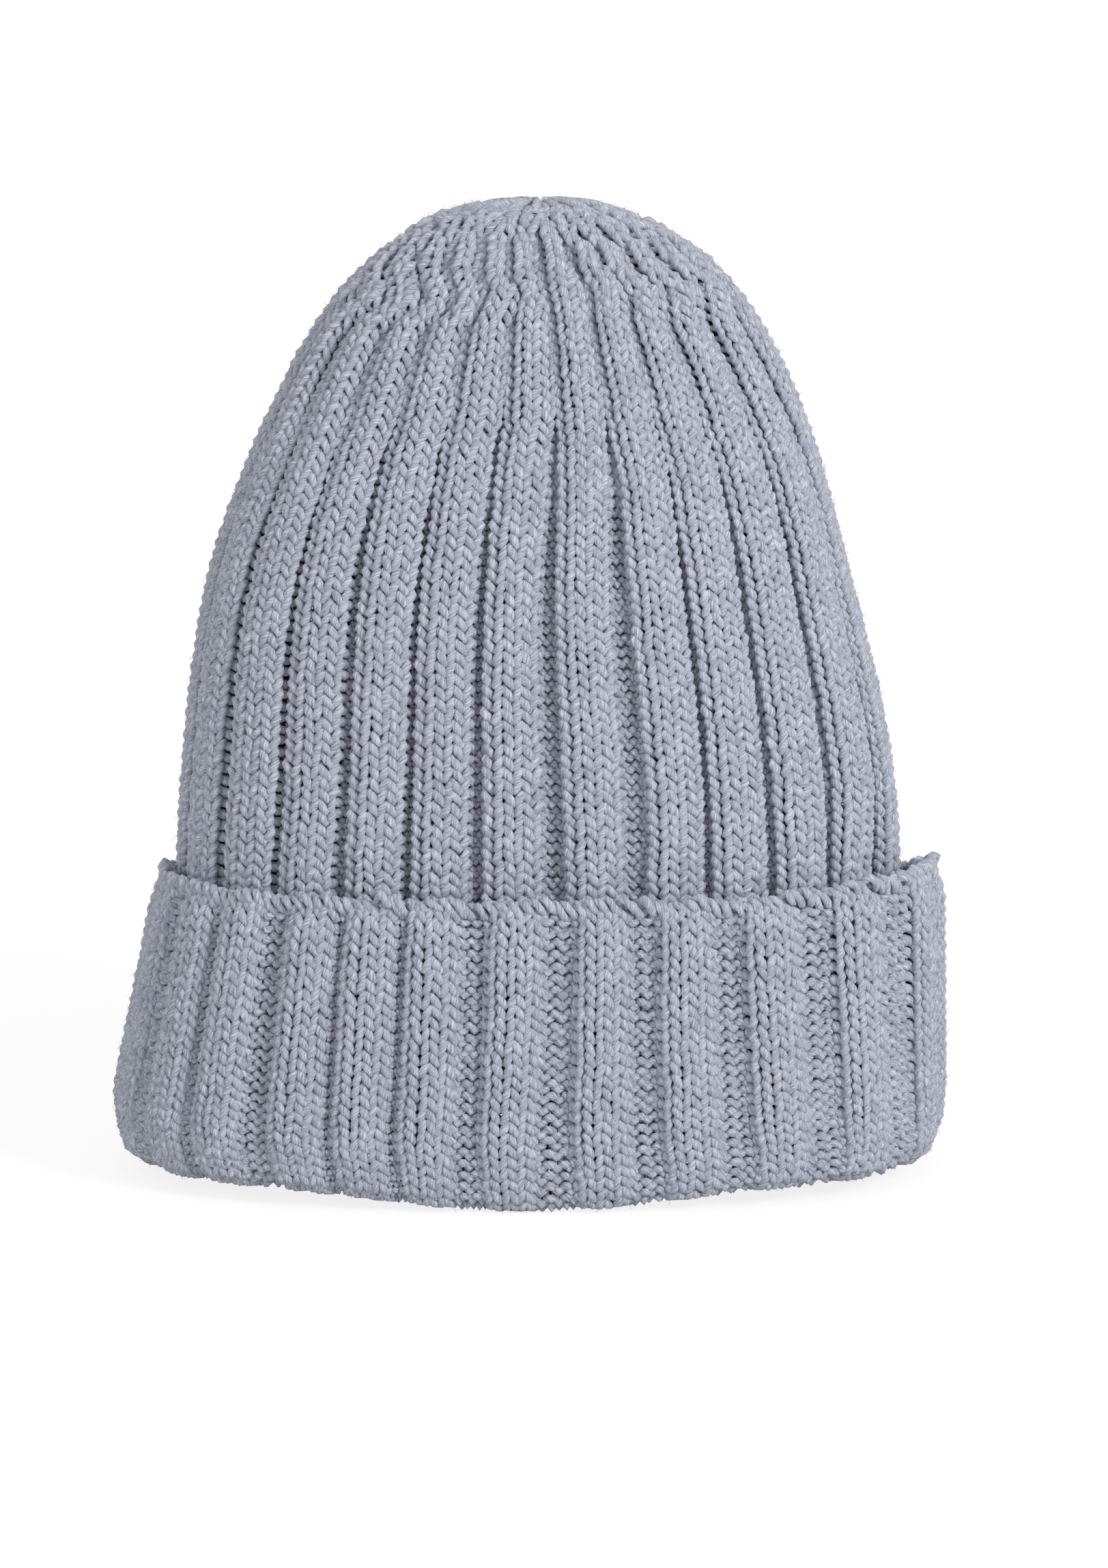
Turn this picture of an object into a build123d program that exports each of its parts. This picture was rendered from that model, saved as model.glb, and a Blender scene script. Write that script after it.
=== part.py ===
from build123d import *
from math import cos, sin, pi, sqrt
import os

# Ribbed knit hat with a turned-up cuff, standing on the fold of its cuff.
# Millimetres. +Z up, the front faces -Y, and the origin is under the middle of the fold.

# Overall sizes
hat_height = 244.5          # floor to the gathered point of the crown
body_half_width = 90.3      # ribbed tube above the cuff, outside, half of side to side
body_half_depth = 50.5      # the same tube, half of front to back
cuff_height = 76.0          # floor to the cast-on edge

# The knit itself
knit_thickness = 4.6        # one layer of relaxed rib fabric
crown_thickness = 6.0       # gathered fabric is bunched, so the crown's top is thicker
layer_gap_width = 4.2       # air between body and cuff at the two sides
layer_gap_depth = 3.4       # air between body and cuff at front and back
clearance = 0.3             # between soft pieces that only lie against each other

# Cuff
cuff_flare_width = 5.9      # how much wider the cuff is near the fold than at its edge
cuff_flare_depth = 1.5
cuff_widest_z = 17.0
cuff_lean = 4.7             # the cuff's edge sits this far to +X of its fold
fold_round = 6.5            # how far the fold curls under, to the face it stands on
fold_height = 12.0
edge_height = 7.0           # the rolled cast-on edge
edge_round = 1.7
band_flare = 2.0            # the layer behind the cuff widens this much down to the fold
band_top = 36.0             # where the layer behind the cuff ends and the hat body begins

# Hat body and crown
body_centre_x = 2.5
crown_height = 64.0         # over which the ribs narrow
gather_height = 10.5        # over which they are drawn together
gather_flat = 3.0           # half width of the drawn-in centre
dome_fullness = 1.8         # exponents of the outline from cuff to crown
dome_bluntness = 0.42
section_squareness = 2.6    # 2 is an ellipse, more is nearer a rectangle

# Sewing and gathering yarn
seam_width = 7.0
seam_thickness = 2.4
seam_above_fold = 10.0      # the cuff's seam starts this far above the fold piece
seam_below_gather = 12.0
yarn_radius = 1.1
gather_ring_radius = 5.0
gather_ceiling_gap = 0.7    # between the gathered fabric and the yarn drawn through it
knot_radius = 2.4

outline_points = 32         # points that set one oval section

cuff_edge_half_width = body_half_width + layer_gap_width + knit_thickness
cuff_edge_half_depth = body_half_depth + layer_gap_depth + knit_thickness
ceiling_z = hat_height - crown_thickness
gather_start_z = hat_height - gather_height
crown_start_z = gather_start_z - crown_height


def oval(z, half_width, half_depth, centre_x):
    """One closed section, a superellipse, as a face at height z."""
    points = []
    for i in range(outline_points):
        angle = 2 * pi * i / outline_points
        across, along = cos(angle), sin(angle)
        reach = (abs(across / half_width) ** section_squareness
                 + abs(along / half_depth) ** section_squareness) ** (-1 / section_squareness)
        points.append((centre_x + reach * across, reach * along, z))
    return Face(Wire([Edge.make_spline([Vector(*p) for p in points], periodic=True)]))


def skin(levels, shape):
    """Closed solid through the sections that shape(z) gives at each level."""
    return loft([oval(z, *shape(z)) for z in levels])


def dome(z, top):
    """Share of the full width left at height z, under a crown that closes at top."""
    rise = (z - cuff_height) / (top - cuff_height)
    if rise <= 0:
        return 1.0
    return (1 - rise ** dome_fullness) ** dome_bluntness


def body_outside(z):
    share = dome(z, hat_height)
    smallest = gather_flat / body_half_width
    share = max(share, smallest)
    return body_half_width * share, body_half_depth * share, body_centre_x


def body_inside(z, extra=0.0):
    share = dome(z, ceiling_z)
    half_width = (body_half_width - knit_thickness) * share - extra
    half_depth = (body_half_depth - knit_thickness) * share - extra
    return half_width, half_depth, body_centre_x


def cuff_centre_x(z):
    above = max(0.0, z - cuff_widest_z)
    return cuff_lean * above / (cuff_height - edge_height - cuff_widest_z)


def cuff_outside(z, inset=0.0):
    """Outer face of the cuff: curled under at the fold, widest just above it."""
    plain_top = cuff_height - edge_height
    if z < cuff_widest_z:
        curl = fold_round * (1 - sqrt(1 - (1 - z / cuff_widest_z) ** 2))
        flare = 1.0
    else:
        curl = 0.0
        flare = max(0.0, (plain_top - z) / (plain_top - cuff_widest_z))
    if z > plain_top:
        curl = edge_round * ((z - plain_top) / edge_height) ** 2
    half_width = cuff_edge_half_width + cuff_flare_width * flare - curl - inset
    half_depth = cuff_edge_half_depth + cuff_flare_depth * flare - curl - inset
    return half_width, half_depth, min(cuff_centre_x(z), cuff_lean)


def cuff_inside(z, extra=0.0):
    """Inner face of the cuff's outer layer, which keeps straight past the rolled edge."""
    level = min(max(z, cuff_widest_z), cuff_height - edge_height)
    half_width, half_depth, _ = cuff_outside(level, knit_thickness + extra)
    curl = 0.0
    if z < cuff_widest_z:
        curl = fold_round * (1 - sqrt(1 - (1 - z / cuff_widest_z) ** 2)) / 2
    return half_width - curl, half_depth - curl, min(cuff_centre_x(z), cuff_lean)


def band_outside(z, inset=0.0):
    """Outer face of the layer behind the cuff, from the fold up to the hat body."""
    down = (band_top - z) / band_top
    half_width = body_half_width + band_flare * down - inset
    half_depth = body_half_depth + band_flare * down - inset
    return half_width, half_depth, body_centre_x * (1 - down)


def band_inside(z):
    return band_outside(z, knit_thickness)


def make_cuff_fold():
    levels = [0, 1, 3, 7, fold_height]
    ring = skin(levels, cuff_outside) - skin([0, fold_height], band_inside)
    trough_levels = [knit_thickness, (knit_thickness + fold_height) / 2, fold_height]
    trough = skin(trough_levels, cuff_inside) - skin([knit_thickness, fold_height], band_outside)
    return ring - trough


def make_turned_up_cuff():
    levels = [fold_height, cuff_widest_z, (cuff_widest_z + cuff_height - edge_height) / 2,
              cuff_height - edge_height]
    return skin(levels, cuff_outside) - skin(levels, cuff_inside)


def make_cast_on_edge():
    start = cuff_height - edge_height
    levels = [start, start + edge_height / 2, cuff_height]
    return skin(levels, cuff_outside) - skin(levels, cuff_inside)


def make_inner_band():
    levels = [fold_height, band_top]
    return skin(levels, band_outside) - skin(levels, band_inside)


def make_body_tube():
    start = band_top + clearance
    bend = crown_start_z - cuff_height
    levels = [start, (start + cuff_height) / 2, cuff_height, cuff_height + bend / 4,
              cuff_height + bend / 2, cuff_height + 3 * bend / 4, crown_start_z]
    return skin(levels, body_outside) - skin(levels, body_inside)


def make_crown():
    rise = gather_start_z - crown_start_z
    levels = [crown_start_z + rise * share for share in (0, 0.25, 0.5, 0.7, 0.85, 1)]
    return skin(levels, body_outside) - skin(levels, body_inside)


def make_crown_gather():
    rise = hat_height - gather_start_z
    outside = skin([gather_start_z + rise * share for share in (0, 0.4, 0.75, 0.95, 1)], body_outside)
    hollow_rise = ceiling_z - clearance - gather_start_z
    hollow = skin([gather_start_z + hollow_rise * share for share in (0, 0.6, 1)], body_inside)
    return outside - hollow


def make_gather_yarn():
    height = ceiling_z - clearance - gather_ceiling_gap - yarn_radius
    return Pos(body_centre_x, 0, height) * Torus(gather_ring_radius, yarn_radius)


def make_gather_knot():
    height = ceiling_z - 2 * clearance - gather_ceiling_gap - 2 * yarn_radius - knot_radius
    return Pos(body_centre_x + gather_ring_radius, 0, height) * Sphere(knot_radius)


def make_body_seam():
    """Sewn ridge up the inside of the back, from the layer behind the cuff to the gather."""
    start = band_top + clearance
    end = gather_start_z - seam_below_gather
    levels = [start + (end - start) * share for share in (0, 0.2, 0.4, 0.6, 0.75, 0.9, 1)]
    ridge = skin(levels, lambda z: body_inside(z, clearance))
    ridge -= skin(levels, lambda z: body_inside(z, clearance + seam_thickness))
    strip = Box(seam_width, body_half_depth, hat_height, align=(Align.CENTER, Align.MIN, Align.MIN))
    return ridge & (Pos(body_centre_x, 0, 0) * strip)


def make_cuff_seam():
    """The same seam on the cuff, hidden between its two layers."""
    levels = [fold_height + seam_above_fold, cuff_height - edge_height]
    ridge = skin(levels, lambda z: cuff_inside(z, clearance))
    ridge -= skin(levels, lambda z: cuff_inside(z, clearance + seam_thickness))
    strip = Box(seam_width, cuff_edge_half_depth, cuff_height,
                align=(Align.CENTER, Align.MIN, Align.MIN))
    return ridge & (Pos(body_centre_x, 0, 0) * strip)


nodes = {
    "cuff_fold": make_cuff_fold(),
    "turned_up_cuff": make_turned_up_cuff(),
    "cast_on_edge": make_cast_on_edge(),
    "inner_band": make_inner_band(),
    "cuff_seam": make_cuff_seam(),
    "body_tube": make_body_tube(),
    "crown": make_crown(),
    "crown_gather": make_crown_gather(),
    "body_seam": make_body_seam(),
    "gather_yarn": make_gather_yarn(),
    "gather_knot": make_gather_knot(),
}

os.makedirs("parts", exist_ok=True)
for name, solid in nodes.items():
    export_step(solid, f"parts/{name}.step")
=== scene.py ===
"""A ribbed knit beanie. Every course of the rib is one closed length of yarn, looped stitch by stitch
on the surface of the hat, from the cast-on edge down the cuff, round the fold and up to the crown."""

import math

import bmesh
import bpy
import numpy as np
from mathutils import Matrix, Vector


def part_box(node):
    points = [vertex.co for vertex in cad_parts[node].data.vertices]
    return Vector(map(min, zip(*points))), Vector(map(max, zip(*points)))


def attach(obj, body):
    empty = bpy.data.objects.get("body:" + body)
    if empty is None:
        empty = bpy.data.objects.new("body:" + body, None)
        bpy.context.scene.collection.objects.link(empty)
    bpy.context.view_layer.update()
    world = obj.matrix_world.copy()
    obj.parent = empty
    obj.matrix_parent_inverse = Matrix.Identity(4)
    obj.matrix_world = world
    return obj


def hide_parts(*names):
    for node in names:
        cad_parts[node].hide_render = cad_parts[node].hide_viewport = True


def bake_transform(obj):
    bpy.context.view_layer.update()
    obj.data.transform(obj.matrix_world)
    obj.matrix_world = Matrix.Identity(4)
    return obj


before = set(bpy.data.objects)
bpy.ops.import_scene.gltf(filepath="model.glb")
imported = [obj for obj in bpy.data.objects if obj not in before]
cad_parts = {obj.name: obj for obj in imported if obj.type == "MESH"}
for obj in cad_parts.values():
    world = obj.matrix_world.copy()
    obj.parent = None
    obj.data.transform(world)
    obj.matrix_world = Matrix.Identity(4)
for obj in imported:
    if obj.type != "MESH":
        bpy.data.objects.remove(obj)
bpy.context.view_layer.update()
MM = 0.001
rng = np.random.default_rng(11)

# ---------------------------------------------------------------- sizes, in millimetres
# Yarn and gauge: about 25 knit stitches and 35 rows in 100 mm
YARN_RADIUS = 1.12
HOOK_THINNING = 0.32        # yarn is squeezed thinner where loops hook into each other, at the back
ROW_PITCH = 2.82
RIBS = 26                   # repeats of three knit and three purl stitches
KNIT_WIDTHS = (3.95, 4.2, 3.95)
CUFF_KNIT = 0.92            # the cuff's knit stitches are this much narrower
PURL_SHARES = (0.36, 0.36, 0.28)
KNIT_RISE = 2.3             # half of the height of one loop of yarn
PURL_RISE = 2.1
BODY_SWAY = 2.0             # how far the legs of a loop lean into a V
CUFF_SWAY = 1.75
PURL_SWAY = 0.9
BODY_TWIST = 0.13           # sideways lean of every loop, from the twist of the yarn
CUFF_TWIST = 0.25
LOOP_DEPTH = 0.9            # how far the legs stand in front of the loop's head
RIB_RELIEF = 2.15           # how far a rib stands out of, and a valley sinks into, the fabric
RIB_OVERHANG = 1.0          # how far a rib's left edge leans over the valley beside it
PLIES = 3
PLY_PITCH = 5.0             # length of yarn in which a ply goes round once
FIBRES_PER_COURSE = 70      # loose fibres that stand out of the yarn
PURL_BLUNTNESS = 1.7        # how square the heads of purl loops are
PURL_DEPTH = 1.25           # depth of a purl loop, as a share of a knit loop's
PURL_YARN = 0.98            # thickness of the yarn in a purl stitch, as a share of its full one
PURL_THINNING = 0.3
EDGE_SWELL = 0.45           # yarn is fuller where it passes from a knit to a purl stitch
CROWN_SWELL = 0.12          # and on the crown, where the stitches are pushed together

# Width of the open valleys: the front ones by number, the others between two limits
BODY_VALLEYS = {8: 3.6, 9: 4.8, 10: 3.9, 11: 5.2, 12: 7.4, 13: 8.3, 14: 4.0, 15: 4.6, 16: 5.0}
CUFF_VALLEYS = {7: 4.7, 8: 9.1, 9: 4.0, 10: 4.2, 11: 8.5, 12: 10.8, 13: 9.9, 14: 10.5, 15: 12.4,
                16: 15.0}
# Height at which each of those valleys closes on the crown
VALLEY_TOPS = {8: 225, 9: 230, 10: 233, 11: 214, 12: 233, 13: 231, 14: 221, 15: 230, 16: 226,
               17: 221}
FRONT_RIB = 13              # the rib just right of the front's middle, and how far right it is
FRONT_RIB_X = 15.7

# The outline of the hat, as the frame was drawn
DOME_FULLNESS = 1.6
DOME_BLUNTNESS = 0.4
TOP_SETTLING = 2.0          # soft knit sinks this far below the top of the frame
SIDE_LEAN = 2.4             # the sides lean this far to the left, half way up
SQUARENESS = 2.6
KNIT_WALL = 4.6
BAND_FLARE = 2.0
FOLD_ROUND = 6.5
WIDEST_Z = 17.0
EDGE_ROUND = 1.7
FOLD_DROP = 5.6             # how far the fold hangs below the level where its bend begins
HEM_LIFT = 4.8              # the hem curves up towards its sides
RIM_RISE = 1.7              # the rim above the frame's, all round
RIGHT_CORNER_RISE = 2.2
LEFT_CORNER_RISE = -0.4
BACK_SINK = 9.0
CAST_ON_TURNS = 96
CAST_ON_POINTS = 10         # points of yarn in one turn

HALF_KNIT = RIB_RELIEF + LOOP_DEPTH + YARN_RADIUS   # from mid fabric to the outside of a rib
FOLD_RELIEF = 0.12          # share of the relief that is left at the bottom of the fold
HALF_FOLD = RIB_RELIEF * FOLD_RELIEF + LOOP_DEPTH + YARN_RADIUS


def corners(node):
    """Lowest and highest corner of a frame node, in millimetres."""
    low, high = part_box(node)
    return np.array(low) / MM, np.array(high) / MM


body_low, body_high = corners("body_tube")
fold_low, fold_high = corners("cuff_fold")
cuff_low, cuff_high = corners("turned_up_cuff")
edge_low, edge_high = corners("cast_on_edge")
band_low, band_high = corners("inner_band")
gather_low, gather_high = corners("crown_gather")

HAT_TOP = gather_high[2] - TOP_SETTLING
CUFF_TOP = edge_high[2]
EDGE_START = edge_low[2]
BAND_TOP = band_high[2]
CENTRE_X = (body_low[0] + body_high[0]) / 2
BODY_WIDE = (body_high[0] - body_low[0]) / 2
BODY_DEEP = (body_high[1] - body_low[1]) / 2
CUFF_WIDE = (fold_high[0] - fold_low[0]) / 2
CUFF_DEEP = (cuff_high[1] - cuff_low[1]) / 2
EDGE_X = (edge_low[0] + edge_high[0]) / 2
EDGE_WIDE = (edge_high[0] - edge_low[0]) / 2
EDGE_DEEP = (edge_high[1] - edge_low[1]) / 2


# ---------------------------------------------------------------- the surface of the fabric
def smooth(x):
    x = np.clip(x, 0, 1)
    return x * x * (3 - 2 * x)


def dome(z):
    rise = np.clip((z - CUFF_TOP) / (HAT_TOP - CUFF_TOP), 0, 1)
    return (1 - rise ** DOME_FULLNESS) ** DOME_BLUNTNESS


def inset(half, z):
    """An outline moved inwards, square to itself, by half the thickness of the knit."""
    step, climb = np.gradient(half), np.gradient(z)
    size = np.hypot(step, climb)
    return np.maximum(half - HALF_KNIT * climb / size, 0), z + HALF_KNIT * step / size


def cuff_layer(z):
    """Half width, half depth and centre of the middle of the cuff's outer layer."""
    up = np.clip((z - WIDEST_Z) / (EDGE_START - WIDEST_Z), 0, 1)
    curl = FOLD_ROUND * (1 - np.sqrt(1 - np.clip(1 - z / WIDEST_Z, 0, 1) ** 2)) * 0.5
    curl = curl + EDGE_ROUND * np.clip((z - EDGE_START) / (CUFF_TOP - EDGE_START), 0, 1) ** 2
    rim = 1.5 * np.clip((z - CUFF_TOP + 10) / 10, 0, 1) ** 2
    wide = CUFF_WIDE + (EDGE_WIDE - CUFF_WIDE) * up - curl - rim - HALF_KNIT
    deep = CUFF_DEEP + (EDGE_DEEP - CUFF_DEEP) * up - curl - HALF_KNIT
    return wide, deep, EDGE_X * up


def band_layer(z):
    """The same for the layer behind the cuff."""
    down = np.clip((BAND_TOP - z) / BAND_TOP, 0, 1)
    wide = BODY_WIDE + BAND_FLARE * down - KNIT_WALL / 2
    deep = BODY_DEEP + BAND_FLARE * down - KNIT_WALL / 2
    return wide, deep, CENTRE_X * (1 - down)


def fabric_path():
    """The line that the fabric follows from its cast-on edge to the crown, as rows of half width,
    half depth, centre and height, with the length along it."""
    bend_z = FOLD_DROP + HALF_FOLD
    z = np.linspace(CUFF_TOP - YARN_RADIUS, bend_z, 400)
    outer = np.column_stack([*cuff_layer(z), z])
    turn = np.linspace(0, math.pi, 120)[1:]
    share = (1 - np.cos(turn)) / 2
    start = np.array([float(v) for v in cuff_layer(np.array(bend_z))])
    end = np.array([float(v) for v in band_layer(np.array(bend_z))])
    fold = np.column_stack([start + (end - start) * share[:, None], bend_z - FOLD_DROP * np.sin(turn)])
    z = np.linspace(bend_z, BAND_TOP, 160)[1:]
    band = np.column_stack([*band_layer(z), z])
    z = BAND_TOP + (HAT_TOP - BAND_TOP) * np.sin(np.linspace(0, math.pi / 2, 1200)[1:])
    share = dome(z)
    wide, wide_z = inset(BODY_WIDE * share, z)
    deep, deep_z = inset(BODY_DEEP * share, z)
    centre = CENTRE_X - SIDE_LEAN * np.exp(-((z - 150) / 35) ** 2)
    body = np.column_stack([wide, deep, centre, (wide_z + deep_z) / 2])
    rows = np.vstack([outer, fold, band, body])
    step = np.diff(rows, axis=0)
    length = np.sqrt((step[:, 0] ** 2 + step[:, 1] ** 2) / 2 + step[:, 3] ** 2)
    return rows, np.concatenate([[0], np.cumsum(length)])


def oval(angle, wide, deep):
    across, along = np.cos(angle), np.sin(angle)
    reach = (np.abs(across / wide) ** SQUARENESS + np.abs(along / deep) ** SQUARENESS)
    reach = reach ** (-1 / SQUARENESS)
    return reach * across, reach * along


def section_angles(wide, deep):
    """Girth of an oval section, and its angles at even steps of girth from the back, past the left."""
    angle = np.linspace(math.pi / 2, math.pi * 5 / 2, 2881)
    x, y = oval(angle, wide, deep)
    girth = np.concatenate([[0], np.cumsum(np.hypot(np.diff(x), np.diff(y)))])
    return girth[-1], np.interp(np.linspace(0, 1, 2881), girth / girth[-1], angle)


path_rows, path_length = fabric_path()
GIRTH, girth_angles = section_angles(BODY_WIDE - HALF_KNIT, BODY_DEEP - HALF_KNIT)
CUFF_GIRTH, cuff_angles = section_angles(CUFF_WIDE - HALF_KNIT, CUFF_DEEP - HALF_KNIT)
FABRIC_LENGTH = path_length[-1]


def length_at(z, after):
    """Length along the fabric where it passes height z, beyond a given length."""
    beyond = path_length > after
    heights, lengths = path_rows[beyond, 3], path_length[beyond]
    return float(lengths[np.argmax(heights >= z)])


def height_at(along):
    return float(np.interp(along, path_length, path_rows[:, 3]))


FOLD_BOTTOM = float(path_length[np.argmin(path_rows[:, 3])])
BAND_END = length_at(BAND_TOP, FOLD_BOTTOM)
SHOW_START = length_at(CUFF_TOP - 34, FOLD_BOTTOM)      # bared when the cuff is turned down
RIM_START = length_at(CUFF_TOP - 8, FOLD_BOTTOM)


def rim_lift(x, y):
    """The rim stands higher at the right front corner, and sinks where it turns to the back."""
    out = np.abs(x)
    corner = smooth((out - 50) / 35) * (1 - smooth((y + 15) / 30))
    sunk = smooth((out - 35) / 50) * smooth((y + 16) / 62)
    return RIM_RISE + np.where(x > 0, RIGHT_CORNER_RISE, LEFT_CORNER_RISE) * corner - BACK_SINK * sunk


def surface(around, along):
    """Points of the middle of the fabric: around is a share of the girth, along is in millimetres."""
    wide, deep, centre, z = (np.interp(along, path_length, path_rows[:, i]) for i in range(4))
    angle = np.interp(around % 1, np.linspace(0, 1, len(girth_angles)), girth_angles)
    x, y = oval(angle, np.maximum(wide, 0.05), np.maximum(deep, 0.03))
    low = np.clip(1 - z / 45, 0, 1) ** 2
    high = np.clip((z - 30) / 46, 0, 1) ** 2 * (along < FOLD_BOTTOM)
    z = z + HEM_LIFT * smooth(np.abs(x) / 65) * low + rim_lift(x, y) * high
    return np.stack([centre + x, y, z], -1)


def facing(around, along):
    """Unit normals on the right side of the fabric."""
    step_round, step_up = 0.0006, 0.4
    across = surface(around + step_round, along) - surface(around - step_round, along)
    up = surface(around, np.minimum(along + step_up, FABRIC_LENGTH)) - surface(around, along - step_up)
    normal = np.cross(across, up)
    return normal / np.maximum(np.linalg.norm(normal, axis=-1, keepdims=True), 1e-9)


# ---------------------------------------------------------------- the rib
def per_rib(chosen, others):
    values = np.array(others, dtype=float)
    for number, value in chosen.items():
        values[number] = value
    return values


def valleys(chosen, girth, knit=1.0):
    """Width of the valley after each rib: the chosen ones, and the rest of the girth for the others."""
    loose = rng.uniform(0.8, 1.2, RIBS)
    rest = girth - RIBS * sum(KNIT_WIDTHS) * knit - sum(chosen.values())
    return per_rib(chosen, loose * rest / (loose.sum() - loose[list(chosen)].sum()))


body_valley = valleys(BODY_VALLEYS, GIRTH)
cuff_valley = valleys(CUFF_VALLEYS, CUFF_GIRTH, CUFF_KNIT)
valley_top = per_rib(VALLEY_TOPS, rng.uniform(218, 232, RIBS))
first_drop = rng.uniform(216, 227, RIBS)
second_drop = rng.uniform(17, 27, RIBS)
pucker_around = (np.arange(3 * RIBS) + rng.uniform(0, 1, 3 * RIBS)) / (3 * RIBS)
pucker_z = rng.uniform(221, 237, 3 * RIBS)
pucker_depth = rng.uniform(0.4, 1.3, 3 * RIBS)
CUFF_ANCHOR = 0.5 + FRONT_RIB_X / CUFF_GIRTH
BODY_ANCHOR = 0.5 + (FRONT_RIB_X - CENTRE_X) / GIRTH

# Height of the fabric across one repeat, a rib and the valley after it. On the hat both edges of the
# rib are steep. On the cuff the right edge slopes away into a valley that deepens.
BODY_SECTION = ((0, -0.45), (0.04, 0.45), (0.1, 0.9), (0.17, 1.0), (0.33, 1.0), (0.42, 0.92),
                (0.46, 0.7), (0.49, 0.1), (0.52, -0.6), (0.57, -0.95), (0.76, -1.05), (0.9, -1.05),
                (0.96, -0.95), (1, -0.45))
CUFF_SECTION = ((0, -0.35), (0.04, 0.5), (0.1, 0.9), (0.17, 1.0), (0.3, 1.0), (0.4, 0.85),
                (0.47, 0.5), (0.5, 0.25), (0.58, -0.2), (0.68, -0.55), (0.8, -0.85), (0.9, -1.0),
                (0.96, -0.9), (1, -0.35))


def layout(along):
    """Width of each column of stitches as a share of the girth, 0 where it has been decreased away."""
    z = height_at(along)
    on_hat = float(smooth((along - FOLD_BOTTOM) / (BAND_END - FOLD_BOTTOM)))
    widths = np.tile(np.array(KNIT_WIDTHS + PURL_SHARES), (RIBS, 1))
    valley = cuff_valley + (body_valley - cuff_valley) * on_hat
    if on_hat == 1:
        valley = valley * np.interp(z, [CUFF_TOP + 10, 150, 195], [1, 0.85, 0.46])
        valley = np.minimum(valley, np.interp(z, [160, 195], [9, 1.4]))
    widths[:, 3:] *= valley[:, None]
    widths[:, :3] *= CUFF_KNIT + (1 - CUFF_KNIT) * on_hat
    if on_hat == 1 and z > CUFF_TOP:
        if z > 172:
            widths[:, 4] += widths[:, 3] + widths[:, 5]
            widths[:, 3] = widths[:, 5] = 0
        widths[z > valley_top, 3:] = 0
        widths[:, 2] *= smooth((first_drop - z) / 8 + 0.2) * (z < first_drop)
        left = FABRIC_LENGTH - along
        if left < 16:
            widths[:, 3:] = 0
        widths[:, 0] *= smooth((left - second_drop) / 6 + 0.2) * (left > second_drop)
    widths = widths.ravel() / widths.sum()
    centres = np.cumsum(widths) - widths / 2
    anchor = CUFF_ANCHOR + (BODY_ANCHOR - CUFF_ANCHOR) * on_hat
    return widths, centres - centres[FRONT_RIB * 6 + 1] + anchor


def wander(around, z, on_hat):
    """Ribs never run quite straight: a slow sideways drift, a lean half way up the hat's front, a
    pinch on the right above the cuff, and on the cuff's right half a spread towards the hem."""
    drift = 0.0012 * np.sin(2 * math.pi * (around * 2 + z / 210))
    drift = drift + 0.0009 * np.sin(2 * math.pi * (around * 5 - z / 130) + 1.3)
    if on_hat:
        drift = drift + 0.0085 * np.exp(-((around - 0.54) / 0.12) ** 2 - ((z - 165) / 58) ** 2)
        return drift - 0.010 * np.exp(-((around - 0.70) / 0.035) ** 2 - ((z - CUFF_TOP) / 16) ** 2)
    right = smooth((around - 0.49) / 0.06) * (1 - smooth((around - 0.72) / 0.1))
    upright = -EDGE_X / CUFF_GIRTH * -np.cos(2 * math.pi * around)
    return drift + (0.005 * right - upright) * (0.5 - z / CUFF_TOP)


def puckers(around, z):
    """Small dents where the decreases pull the crown together."""
    if z < 212:
        return np.zeros(len(around))
    apart = (around[:, None] % 1 - pucker_around) * 170
    rise = (z - pucker_z) * 0.8
    return -(pucker_depth * np.exp(-(apart / 2.2) ** 2 - (rise / 3.5) ** 2)).sum(1)


def relief_scale(along):
    """Relief of the ribs: low at the cast-on edge, round the fold and behind the cuff, where the rim
    needs room when the cuff is turned down, and fuller on the crown."""
    places = [1, 9, FOLD_BOTTOM - 22, FOLD_BOTTOM - 9, FOLD_BOTTOM, FOLD_BOTTOM + 12, SHOW_START - 4,
              SHOW_START + 14]
    crown = 0.32 * float(smooth((height_at(along) - 170) / 45)) * (along > BAND_END)
    return float(np.interp(along, places, [0.25, 1, 1, 0.5, FOLD_RELIEF, 0.5, 0.45, 1])) + crown


fuzz_rng = np.random.default_rng(5)
fuzz = {"cuff": [], "body_tube": [], "crown": []}


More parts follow.
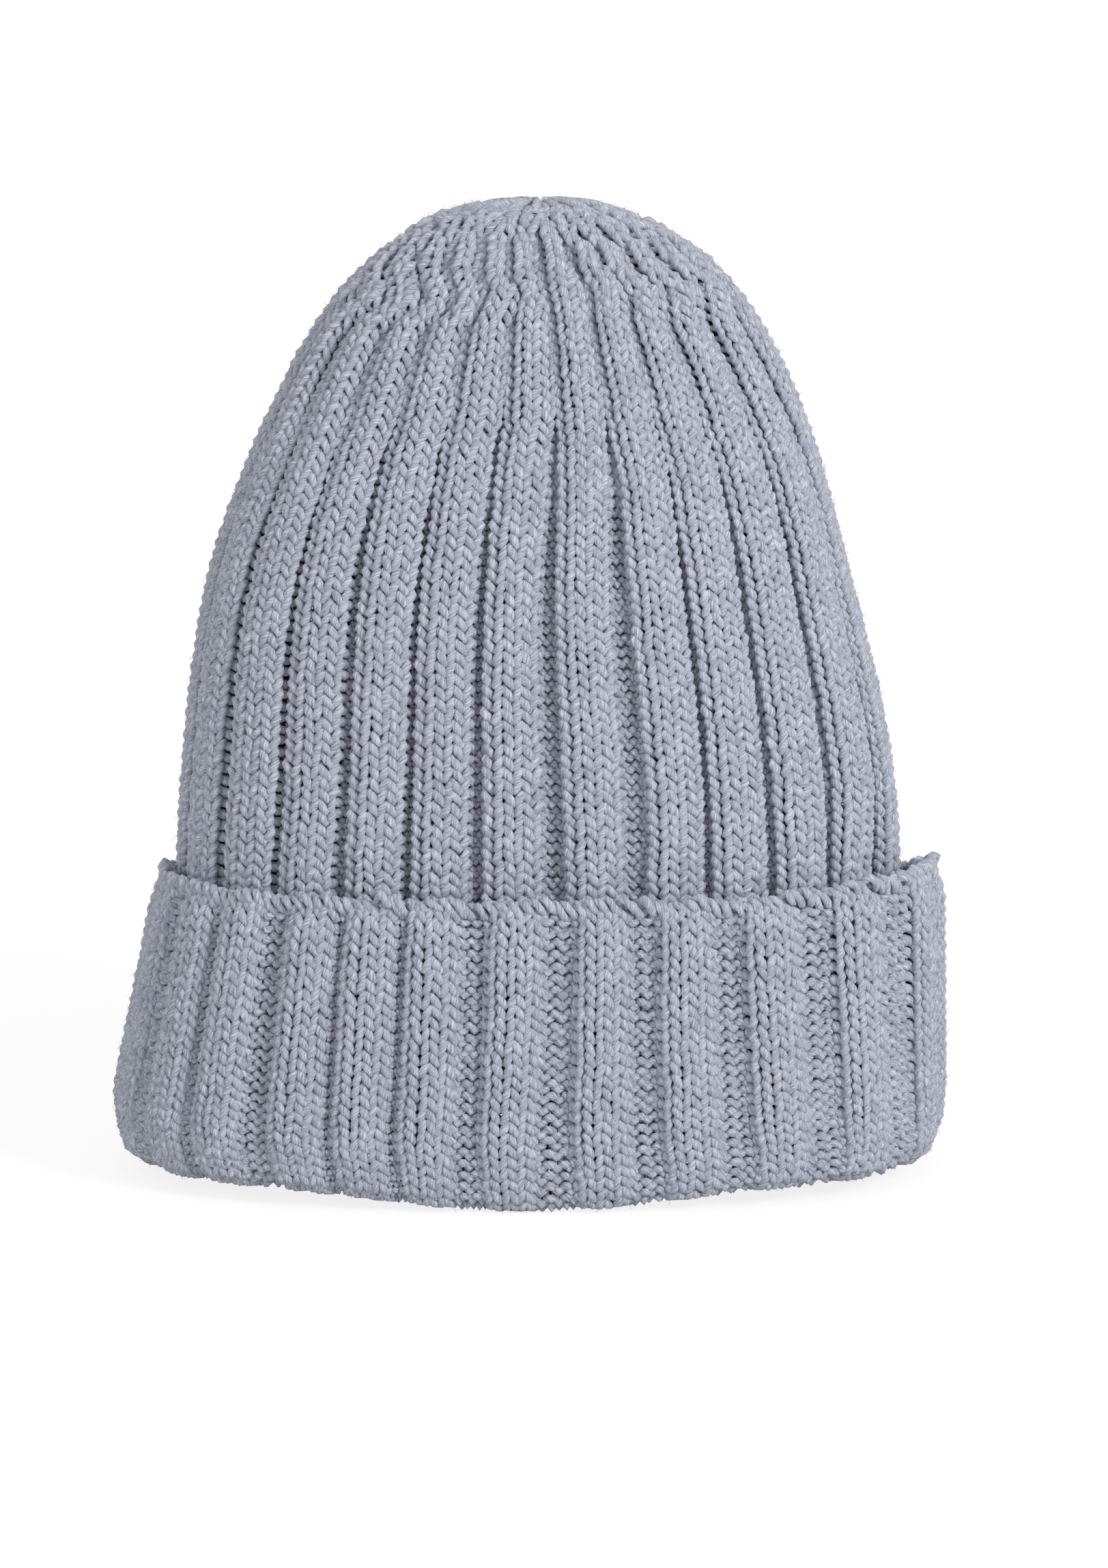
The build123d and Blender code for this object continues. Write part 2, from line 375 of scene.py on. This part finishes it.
def course(index, knit_points, purl_points):
    """Points and radii of the yarn of one closed course, in millimetres."""
    along = index * ROW_PITCH
    z = height_at(along)
    on_hat = along > BAND_END
    widths, centres = layout(along)
    kept = widths > 0
    rib, place = np.arange(RIBS * 6)[kept] // 6, np.arange(RIBS * 6)[kept] % 6
    widths, centres, knit = widths[kept], centres[kept], place < 3
    sign = np.where(knit, 1.0, -1.0)
    run = rib * 2 + ~knit
    first = np.searchsorted(run, run)
    number = np.arange(len(rib)) - first
    group = np.searchsorted(run, run, side="right") - first

    # one entry for every point of yarn
    points = np.where(knit, knit_points, purl_points)
    at = np.repeat(np.arange(len(rib)), points)
    tau = np.concatenate([2 * math.pi * np.arange(n) / n - math.pi for n in points])
    local = (tau + math.pi) / (2 * math.pi)
    spread = lambda deviation: rng.normal(0, deviation, len(rib))[at]
    knit_sway = BODY_SWAY if along > FOLD_BOTTOM else CUFF_SWAY
    sway = np.where(knit, knit_sway, PURL_SWAY)[at] * (1 + spread(0.10))
    blunt = np.tanh(PURL_BLUNTNESS * np.cos(tau)) / np.tanh(PURL_BLUNTNESS)
    bow = np.where(knit[at], np.cos(tau), blunt)
    up = np.where(knit, KNIT_RISE, PURL_RISE)[at] * (1 + spread(0.06)) * bow + spread(0.10)
    swayed = (tau + sway * np.sin(2 * tau)) / (2 * math.pi)
    around = centres[at] + widths[at] * (swayed + spread(0.04))

    legs = (1 - np.cos(2 * tau)) / 2
    beside = np.where(tau < 0, np.roll(sign, 1)[at], np.roll(sign, -1)[at])
    near_end = smooth((np.abs(tau) / math.pi - 0.55) / 0.45)
    side = sign[at] * (1 - near_end) + (sign[at] + beside) / 2 * near_end
    front = side * (2 * legs - 1)
    depth = np.where(knit, 1.0, PURL_DEPTH)[at] * LOOP_DEPTH * front + spread(0.09)

    phase = (number[at] + local) / group[at] / 2 + np.where(knit, 0, 0.5)[at]
    section = np.interp(phase, *zip(*(BODY_SECTION if along > FOLD_BOTTOM else CUFF_SECTION)))
    wave = np.abs(np.sin(2 * math.pi * phase))
    rounded = np.where(phase < 0.5, 1.8 * wave ** 0.75 - 0.8, -0.8 - 0.7 * wave)
    narrow = float(smooth((z - 150) / 60)) * on_hat
    shape = section + (rounded - section) * narrow
    beside_top = np.where(phase > 0.25, valley_top[rib][at], valley_top[rib - 1][at])
    shape = np.maximum(shape, -2 + 2.3 * smooth((z - beside_top - 2) / 14))
    relief = relief_scale(along)
    level = (1 - relief) * 0.35
    outward = RIB_RELIEF * (shape * relief + level) + depth
    if on_hat:
        outward = outward + puckers(around, z)

    girth_here = GIRTH * float(np.interp(along, path_length, path_rows[:, 0])) / (BODY_WIDE - HALF_KNIT)
    lean = -up * (BODY_TWIST if along > FOLD_BOTTOM else -CUFF_TWIST) * knit[at]
    edge = np.minimum(np.abs(phase - 0.02), np.abs(phase - 1.02))
    lean = lean - RIB_OVERHANG * relief * np.exp(-(edge / 0.15) ** 2)
    around = around + lean / max(girth_here, 60) + wander(around, z, on_hat)
    lengths = np.clip(along + up, 0.01, FABRIC_LENGTH - 0.5)
    turned = float(np.interp(along, [BAND_END - 6, BAND_END + 6], [-1.0, 1.0]))
    normal = facing(around, lengths) * turned
    placed = surface(around, lengths) + normal * outward[:, None]
    if along < FOLD_BOTTOM or along > SHOW_START:
        outer = np.nonzero(front > 0.2)[0]
        chosen = fuzz_rng.choice(outer, FIBRES_PER_COURSE)
        region = "cuff" if along < FOLD_BOTTOM else "crown" if z > body_high[2] else "body_tube"
        fuzz[region].append((placed[chosen], normal[chosen]))
    size = widths * girth_here
    knit_yarn = np.clip((size / 4) ** 0.25, 0.6, 1.12)
    purl_yarn = np.clip((size / 3) ** 0.3, 0.6, 1.2) * PURL_YARN
    thin = np.where(knit, knit_yarn, purl_yarn)[at]
    thin = thin * (1 + EDGE_SWELL * near_end * (sign[at] != beside))
    thin = thin * (1 + CROWN_SWELL * float(smooth((z - 208) / 10)) * on_hat)
    thinning = np.where(knit, HOOK_THINNING, PURL_THINNING)[at] * (1 - near_end * (sign[at] != beside))
    return placed, YARN_RADIUS * thin * (1 - thinning * (1 - front) / 2) * (1 + spread(0.05))


# ---------------------------------------------------------------- yarn as mesh
def yarn_mesh(name, lines, bevel_resolution=1, closed=True):
    """One mesh of round yarn along each line, a pair of points and radii in millimetres. One UV map
    holds millimetres along the yarn and turns around it, the other lays each yarn out in rows."""
    curve = bpy.data.curves.new(name + "_line", "CURVE")
    curve.dimensions = "3D"
    curve.bevel_depth = MM
    curve.bevel_resolution = bevel_resolution
    curve.use_fill_caps = False
    for points, radius in lines:
        spline = curve.splines.new("POLY")
        spline.points.add(len(points) - 1)
        spline.points.foreach_set("co", np.column_stack([points * MM, np.ones(len(points))]).ravel())
        spline.points.foreach_set("radius", np.broadcast_to(radius, len(points)).astype(float))
        spline.use_cyclic_u = closed
    holder = bpy.data.objects.new(name + "_line", curve)
    bpy.context.scene.collection.objects.link(holder)
    depsgraph = bpy.context.evaluated_depsgraph_get()
    mesh = bpy.data.meshes.new_from_object(holder.evaluated_get(depsgraph))
    bpy.data.objects.remove(holder)
    bpy.data.curves.remove(curve)
    mesh.name = name
    mesh.shade_smooth()
    lay_out(mesh, [points for points, radius in lines], closed)
    piece = bpy.data.objects.new(name, mesh)
    bpy.context.scene.collection.objects.link(piece)
    return piece


ROWS_PER_YARN = 8


def lay_out(mesh, lines, closed):
    made = mesh.uv_layers[0]
    made.name = "yarn"
    uv = np.empty(len(made.uv) * 2, dtype=np.float32)
    made.uv.foreach_get("vector", uv)
    uv = uv.reshape(-1, 4, 2).astype(float)
    sides = len(uv) // sum(len(points) if closed else len(points) - 1 for points in lines)
    bake = np.empty_like(uv)
    start = 0
    for number, points in enumerate(lines):
        ring = np.vstack([points, points[:1]]) if closed else points
        cells = len(ring) - 1
        end = start + cells * sides
        place = uv[start:end, :, 0] * cells
        travelled = np.concatenate([[0], np.cumsum(np.linalg.norm(np.diff(ring, axis=0), axis=1))])
        cell = np.arange(cells * sides) // sides
        row = cell * ROWS_PER_YARN // cells
        row_start = -(-row * cells // ROWS_PER_YARN)
        row_end = -(-(row + 1) * cells // ROWS_PER_YARN)
        bake[start:end, :, 0] = (place - row_start[:, None]) / np.maximum(row_end - row_start, 1)[:, None]
        bake[start:end, :, 1] = number * ROWS_PER_YARN + row[:, None] + 0.1 + 0.8 * uv[start:end, :, 1]
        uv[start:end, :, 0] = np.interp(place, np.arange(cells + 1), travelled)
        start = end
    bake[:, :, 1] /= len(lines) * ROWS_PER_YARN
    made.uv.foreach_set("vector", uv.astype(np.float32).ravel())
    laid = mesh.uv_layers.new(name="OFBake")
    laid.uv.foreach_set("vector", bake.astype(np.float32).ravel())


def finish_piece(piece, node, material=None):
    piece.data.materials.clear()
    piece.data.materials.append(material or yarn_material)
    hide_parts(node)
    return piece


def knit_piece(name, first, last, node, knit_points=12, purl_points=8, bevel_resolution=1):
    lines = [course(i, knit_points, purl_points) for i in range(first, last)]
    return finish_piece(yarn_mesh(name, lines, bevel_resolution), node)


# ---------------------------------------------------------------- materials
def linear(code):
    """An sRGB hex value as a linear colour."""
    parts = [int(code[i:i + 2], 16) / 255 for i in (0, 2, 4)]
    return tuple(p / 12.92 if p <= 0.04045 else ((p + 0.055) / 1.055) ** 2.4 for p in parts) + (1.0,)


def add(tree, kind, inputs=None, **settings):
    """A shader node: settings are its properties, inputs are values or other nodes' outputs."""
    node = tree.nodes.new(kind)
    for key, value in settings.items():
        setattr(node, key, value)
    for key, value in (inputs or {}).items():
        if isinstance(value, bpy.types.NodeSocket):
            tree.links.new(value, node.inputs[key])
        else:
            node.inputs[key].default_value = value
    return node


def maths(tree, operation, *values):
    return add(tree, "ShaderNodeMath", dict(enumerate(values)), operation=operation).outputs[0]


def ramp(tree, fac, stops):
    node = add(tree, "ShaderNodeValToRGB", {"Fac": fac})
    elements = node.color_ramp.elements
    while len(elements) < len(stops):
        elements.new(0.5)
    for element, (position, code) in zip(elements, stops):
        element.position, element.color = position, linear(code)
    return node.outputs["Color"]


def new_material(name):
    material = bpy.data.materials.new(name)
    material.use_nodes = True
    material.node_tree.nodes.clear()
    return material, material.node_tree


def make_yarn_material(name, dark, middle, light):
    """Plied heather yarn: pale and dark fibres run along each ply, and the plies wind round it."""
    material, tree = new_material(name)
    place = add(tree, "ShaderNodeUVMap", uv_map="yarn").outputs["UV"]
    split = add(tree, "ShaderNodeSeparateXYZ", {"Vector": place})
    length, turn = split.outputs["X"], split.outputs["Y"]
    wound = maths(tree, "SUBTRACT", turn, maths(tree, "DIVIDE", length, PLY_PITCH))
    angle = maths(tree, "MULTIPLY", wound, 2 * math.pi)
    fibre = add(tree, "ShaderNodeCombineXYZ", {
        0: maths(tree, "MULTIPLY", maths(tree, "COSINE", angle), 1.3),
        1: maths(tree, "MULTIPLY", maths(tree, "SINE", angle), 1.3),
        2: maths(tree, "MULTIPLY", length, 0.3)}).outputs[0]
    # fibres of different shades, about 0.5 mm wide and 2 mm long, in patches about a stitch wide
    streak = add(tree, "ShaderNodeTexNoise", {"Vector": fibre, "Scale": 1.8, "Detail": 2.0}).outputs["Fac"]
    solid = add(tree, "ShaderNodeTexCoord").outputs["Object"]
    patch = add(tree, "ShaderNodeTexNoise", {"Vector": solid, "Scale": 260.0, "Detail": 2.0}).outputs["Fac"]
    blend = maths(tree, "ADD", maths(tree, "MULTIPLY", streak, 0.84), maths(tree, "MULTIPLY", patch, 0.16))
    colour = ramp(tree, blend, [(0.32, dark), (0.5, middle), (0.68, light)])
    groove = maths(tree, "ABSOLUTE", maths(tree, "SINE", maths(tree, "MULTIPLY", angle, PLIES / 2)))
    height = maths(tree, "ADD", maths(tree, "MULTIPLY", groove, 0.6), maths(tree, "MULTIPLY", streak, 0.8))
    bump = add(tree, "ShaderNodeBump", {"Height": height, "Distance": 0.3 * MM, "Strength": 0.8})
    surface_node = add(tree, "ShaderNodeBsdfPrincipled", {
        "Base Color": colour, "Normal": bump.outputs["Normal"], "Roughness": 0.9,
        "Specular IOR Level": 0.15, "Sheen Weight": 0.25, "Sheen Roughness": 0.5})
    add(tree, "ShaderNodeOutputMaterial", {"Surface": surface_node.outputs[0]})
    return material


yarn_material = make_yarn_material("heather_acrylic_wool_yarn", "8d93a3", "b2b7c5", "dadde7")
sewing_material = make_yarn_material("sewing_yarn", "7d8598", "a1a7b7", "c4c8d4")


def make_fibre_material():
    """Single wool fibres, paler than the yarn because the light comes through them."""
    material, tree = new_material("loose_wool_fibre")
    shine = add(tree, "ShaderNodeBsdfPrincipled", {
        "Base Color": linear("b4b9c8"), "Roughness": 0.8, "Specular IOR Level": 0.2})
    add(tree, "ShaderNodeOutputMaterial", {"Surface": shine.outputs[0]})
    return material


fibre_material = make_fibre_material()

# ---------------------------------------------------------------- build
fold_course = int((FOLD_BOTTOM - 12) / ROW_PITCH)
band_course = int((FOLD_BOTTOM + 9) / ROW_PITCH)
hidden_course = int(BAND_END / ROW_PITCH)
show_course = int(SHOW_START / ROW_PITCH)
rim_course = int(RIM_START / ROW_PITCH)
top_course = int((FABRIC_LENGTH - 10) / ROW_PITCH)


def in_pieces(prefix, first, last, size, node_of, body, **how):
    made = []
    for start in range(first, last, size):
        end = min(start + size, last)
        piece = knit_piece(f"{prefix}_{len(made) + 1}", start, end, node_of(start), **how)
        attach(piece, body)
        made.append(piece)
    return made


def hat_node(i):
    return "crown" if height_at(i * ROW_PITCH) > body_high[2] else "body_tube"


in_pieces("cuff_courses", 1, fold_course, 9, lambda i: "turned_up_cuff", "cuff")
in_pieces("fold_courses", fold_course, band_course, 9, lambda i: "cuff_fold", "cuff")
band = knit_piece("band_courses", band_course, hidden_course, "inner_band", 6, 6, 0)
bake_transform(band)
in_pieces("hidden_courses", hidden_course, show_course, 12, lambda i: "body_tube", "hat_body",
          knit_points=6, purl_points=6, bevel_resolution=0)
in_pieces("lower_courses", show_course, rim_course, 9, hat_node, "hat_body",
          knit_points=10, purl_points=6)
in_pieces("hat_courses", rim_course, top_course, 9, hat_node, "hat_body")


def cast_on_edge():
    """Two strands wound round the top of the cuff, as the loops of a cast-on are. They rise over the
    ribs and dip into the valleys."""
    t = np.arange(CAST_ON_TURNS * CAST_ON_POINTS)
    centres = layout(0.9)[1].reshape(RIBS, 6)
    tops = np.column_stack([centres[:, 1], centres[:, 4]]).ravel()
    crest = lambda around: np.interp(around, tops, np.tile([1.0, -1.0], RIBS), period=1)
    lines = []
    for half in (0, math.pi):
        jitter = np.repeat(rng.normal(0, 0.35, CAST_ON_TURNS), CAST_ON_POINTS)
        angle = -2 * math.pi * t / CAST_ON_POINTS + half + jitter
        slow = sum(rng.uniform(0.5, 1) * np.sin(2 * math.pi * t / len(t) * k + rng.uniform(0, 7))
                   for k in (9, 17, 26, 41)) * 0.28
        around = t / len(t) + 0.0006 * np.sin(2 * math.pi * t / len(t) * 33 + half)
        along = np.full(len(t), 0.9)
        normal = -facing(around, along)
        centre = surface(around, along) + normal * (1.7 + slow + 0.5 * crest(around))[:, None]
        centre[:, 2] += slow * 1.3 - 0.9 + 0.6 * crest(around)
        swell = 1 + rng.normal(0, 0.12, len(t))
        points = centre + normal * (1.35 * np.cos(angle) * swell)[:, None]
        points[:, 2] += 1.3 * np.sin(angle) * swell
        lines.append((points, 1.0 * (1 + rng.normal(0, 0.08, len(t)))))
    piece = finish_piece(yarn_mesh("cast_on_loops", lines), "cast_on_edge")
    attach(piece, "cuff")


def stray_fibres(name, places, node, body):
    """Short fine fibres that stand out of the yarn, each bent over the fabric."""
    start = np.vstack([points for points, normals in places])
    normal = np.vstack([normals for points, normals in places])
    count = len(start)
    drift = fuzz_rng.normal(0, 1, (count, 3))
    drift -= normal * (drift * normal).sum(1, keepdims=True)
    drift /= np.linalg.norm(drift, axis=1, keepdims=True)
    reach = fuzz_rng.uniform(0.8, 1.9, (count, 1))
    rise = fuzz_rng.uniform(0.2, 1.0, (count, 1))
    root = start + normal * 0.8
    bend = root + drift * reach * 0.5 + normal * (0.35 + rise * 0.6)
    tip = root + drift * reach + normal * (0.2 + rise)
    lines = [(np.array(points), np.array([0.045, 0.035, 0.02])) for points in zip(root, bend, tip)]
    piece = finish_piece(yarn_mesh(name, lines, 0, closed=False), node, fibre_material)
    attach(piece, body)


def gather():
    """The last stitches drawn together: one strand from each wale, dipping into the crown's middle."""
    start = (top_course - 1.3) * ROW_PITCH
    widths, centres = layout(start)
    wales = [i for i in range(RIBS * 6) if widths[i] > 0]
    steps = np.linspace(0, 1, 20)
    lines = []
    for number, wale in enumerate(wales):
        under = 1.0 if wale % 6 > 2 else 0.6 * (number % 2)
        around = centres[wale] + rng.normal(0, 0.002) + 0.006 * rng.uniform(-1, 1) * np.sin(steps * math.pi)
        along = start + (FABRIC_LENGTH - 0.3 - start) * steps ** 0.9
        height = RIB_RELIEF * 0.8 + LOOP_DEPTH * np.sin(np.minimum(steps * 4, 1) * math.pi / 2) - 0.2
        base = surface(around, along)
        points = base + facing(around, along) * (height + rng.normal(0, 0.2))[:, None]
        reach = np.hypot(points[:, 0] - CENTRE_X, points[:, 1] * BODY_WIDE / BODY_DEEP)
        points[:, 2] = np.minimum(points[:, 2], HAT_TOP - 1.2)
        points[:, 2] -= 1.3 * under + 5.5 * smooth(1 - reach / 6) ** 1.5
        lines.append((points, 1.25 - 0.55 * smooth(1 - reach / 12)))
    piece = finish_piece(yarn_mesh("gather_strands", lines, closed=False), "crown_gather")
    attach(piece, "hat_body")


def gather_tie():
    """The yarn drawn through the last stitches inside the crown, and the knot that holds it."""
    low, high = corners("gather_yarn")
    middle, reach = (low + high) / 2, (high - low) / 2
    t = np.linspace(0, 2 * math.pi, 60, endpoint=False)
    ring = np.column_stack([middle[0] + (reach[0] - 0.9) * np.cos(t),
                            middle[1] + (reach[1] - 0.9) * np.sin(t),
                            middle[2] + 0.5 * np.sin(t * 9)])
    piece = finish_piece(yarn_mesh("gather_ring", [(ring, 0.85)]), "gather_yarn",
                         sewing_material)
    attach(piece, "hat_body")
    low, high = corners("gather_knot")
    middle, reach = (low + high) / 2, (high - low) / 2
    knot = np.column_stack([np.sin(t) + 2 * np.sin(2 * t), np.cos(t) - 2 * np.cos(2 * t),
                            -np.sin(3 * t) * 1.6])
    knot = middle + knot / 3 * (reach.min() - 0.7)
    piece = finish_piece(yarn_mesh("gather_knot_yarn", [(knot, 0.75)]), "gather_knot",
                         sewing_material)
    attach(piece, "hat_body")


def seam(name, node, first, last, side, body):
    """An overcast seam down the back: one yarn wound back and forth across the joined edges."""
    count = int((last - first) / 3.4) * 10
    t = np.arange(count)
    angle = 2 * math.pi * t / 10
    along = first + (last - first) * t / count
    wide = np.interp(along, path_length, path_rows[:, 0])
    around = 2.6 / (GIRTH * wide / BODY_WIDE) * np.cos(angle) + rng.normal(0, 0.0002, count)
    offset = side * (HALF_KNIT - 0.9 - 0.7 * np.sin(angle))
    points = surface(around, along) + facing(around, along) * offset[:, None]
    piece = finish_piece(yarn_mesh(name, [(points, 0.7)], closed=False), node,
                         sewing_material)
    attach(piece, body)


cast_on_edge()
stray_fibres("cuff_fibres", fuzz["cuff"], "turned_up_cuff", "cuff")
stray_fibres("body_fibres", fuzz["body_tube"], "body_tube", "hat_body")
stray_fibres("crown_fibres", fuzz["crown"], "crown", "hat_body")
gather()
gather_tie()
seam("cuff_seam_yarn", "cuff_seam", 6, FOLD_BOTTOM - 16, 1, "cuff")
seam("body_seam_yarn", "body_seam", length_at(BAND_TOP / 2, FOLD_BOTTOM),
     length_at(HAT_TOP - 20, FOLD_BOTTOM), -1, "hat_body")


# ---------------------------------------------------------------- floor, light and camera
def make_stage():
    material, tree = new_material("pale_floor")
    seen = add(tree, "ShaderNodeLightPath").outputs["Is Camera Ray"]
    paper = add(tree, "ShaderNodeBsdfDiffuse", {"Color": (0.24, 0.24, 0.24, 1)})
    glow = add(tree, "ShaderNodeEmission", {"Color": (1, 1, 1, 1), "Strength": 0.84})
    near = add(tree, "ShaderNodeAddShader", {0: paper.outputs[0], 1: glow.outputs[0]})
    # away from the hat the paper is evenly white
    place = add(tree, "ShaderNodeTexCoord").outputs["Object"]
    distance = add(tree, "ShaderNodeVectorMath", {0: place}, operation="LENGTH").outputs["Value"]
    far = add(tree, "ShaderNodeMapRange", {"Value": distance, "From Min": 0.16, "From Max": 0.42})
    white = add(tree, "ShaderNodeEmission", {"Color": (1, 1, 1, 1), "Strength": 1.0})
    both = add(tree, "ShaderNodeMixShader", {
        0: far.outputs["Result"], 1: near.outputs[0], 2: white.outputs[0]})
    plain = add(tree, "ShaderNodeBsdfDiffuse", {"Color": (0.75, 0.75, 0.75, 1)})
    mix = add(tree, "ShaderNodeMixShader", {0: seen, 1: plain.outputs[0], 2: both.outputs[0]})
    add(tree, "ShaderNodeOutputMaterial", {"Surface": mix.outputs[0]})
    mesh = bpy.data.meshes.new("floor")
    bm = bmesh.new()
    bmesh.ops.create_grid(bm, x_segments=1, y_segments=1, size=30)
    bm.to_mesh(mesh)
    bm.free()
    mesh.materials.append(material)
    floor = bpy.data.objects.new("floor", mesh)
    bpy.context.scene.collection.objects.link(floor)


def area_light(name, place, aim, size, power):
    light = bpy.data.lights.new(name, "AREA")
    light.shape = "DISK"
    light.size = size
    light.energy = power
    lamp = bpy.data.objects.new(name, light)
    lamp.location = place
    lamp.rotation_euler = (Vector(aim) - Vector(place)).to_track_quat("-Z", "Y").to_euler()
    bpy.context.scene.collection.objects.link(lamp)


def make_light():
    middle = (0, 0, 0.12)
    area_light("key", (1.05, -1.1, 0.85), middle, 0.55, 15.0)
    area_light("fill", (-1.2, -1.2, 0.5), middle, 1.0, 4.5)
    world = bpy.data.worlds.new("studio")
    bpy.context.scene.world = world
    world.use_nodes = True
    tree = world.node_tree
    tree.nodes.clear()
    seen = add(tree, "ShaderNodeLightPath").outputs["Is Camera Ray"]
    soft = add(tree, "ShaderNodeBackground", {"Color": (1, 1, 1, 1), "Strength": 0.54})
    white = add(tree, "ShaderNodeBackground", {"Color": (1, 1, 1, 1), "Strength": 1.0})
    mix = add(tree, "ShaderNodeMixShader", {0: seen, 1: soft.outputs[0], 2: white.outputs[0]})
    add(tree, "ShaderNodeOutputWorld", {"Surface": mix.outputs[0]})


def make_camera():
    aim = Vector((6.3 * MM, 0, 96.1 * MM))
    elevation = math.radians(10)
    distance = 1.5
    camera = bpy.data.objects.new("camera", bpy.data.cameras.new("camera"))
    bpy.context.scene.collection.objects.link(camera)
    camera.location = aim + Vector((0, -math.cos(elevation), math.sin(elevation))) * distance
    camera.rotation_euler = (aim - camera.location).to_track_quat("-Z", "Y").to_euler()
    camera.data.sensor_width = 36
    camera.data.lens = 36 * distance / 0.390
    bpy.context.scene.camera = camera


make_stage()
make_light()
make_camera()
bpy.context.scene.view_settings.view_transform = "Standard"
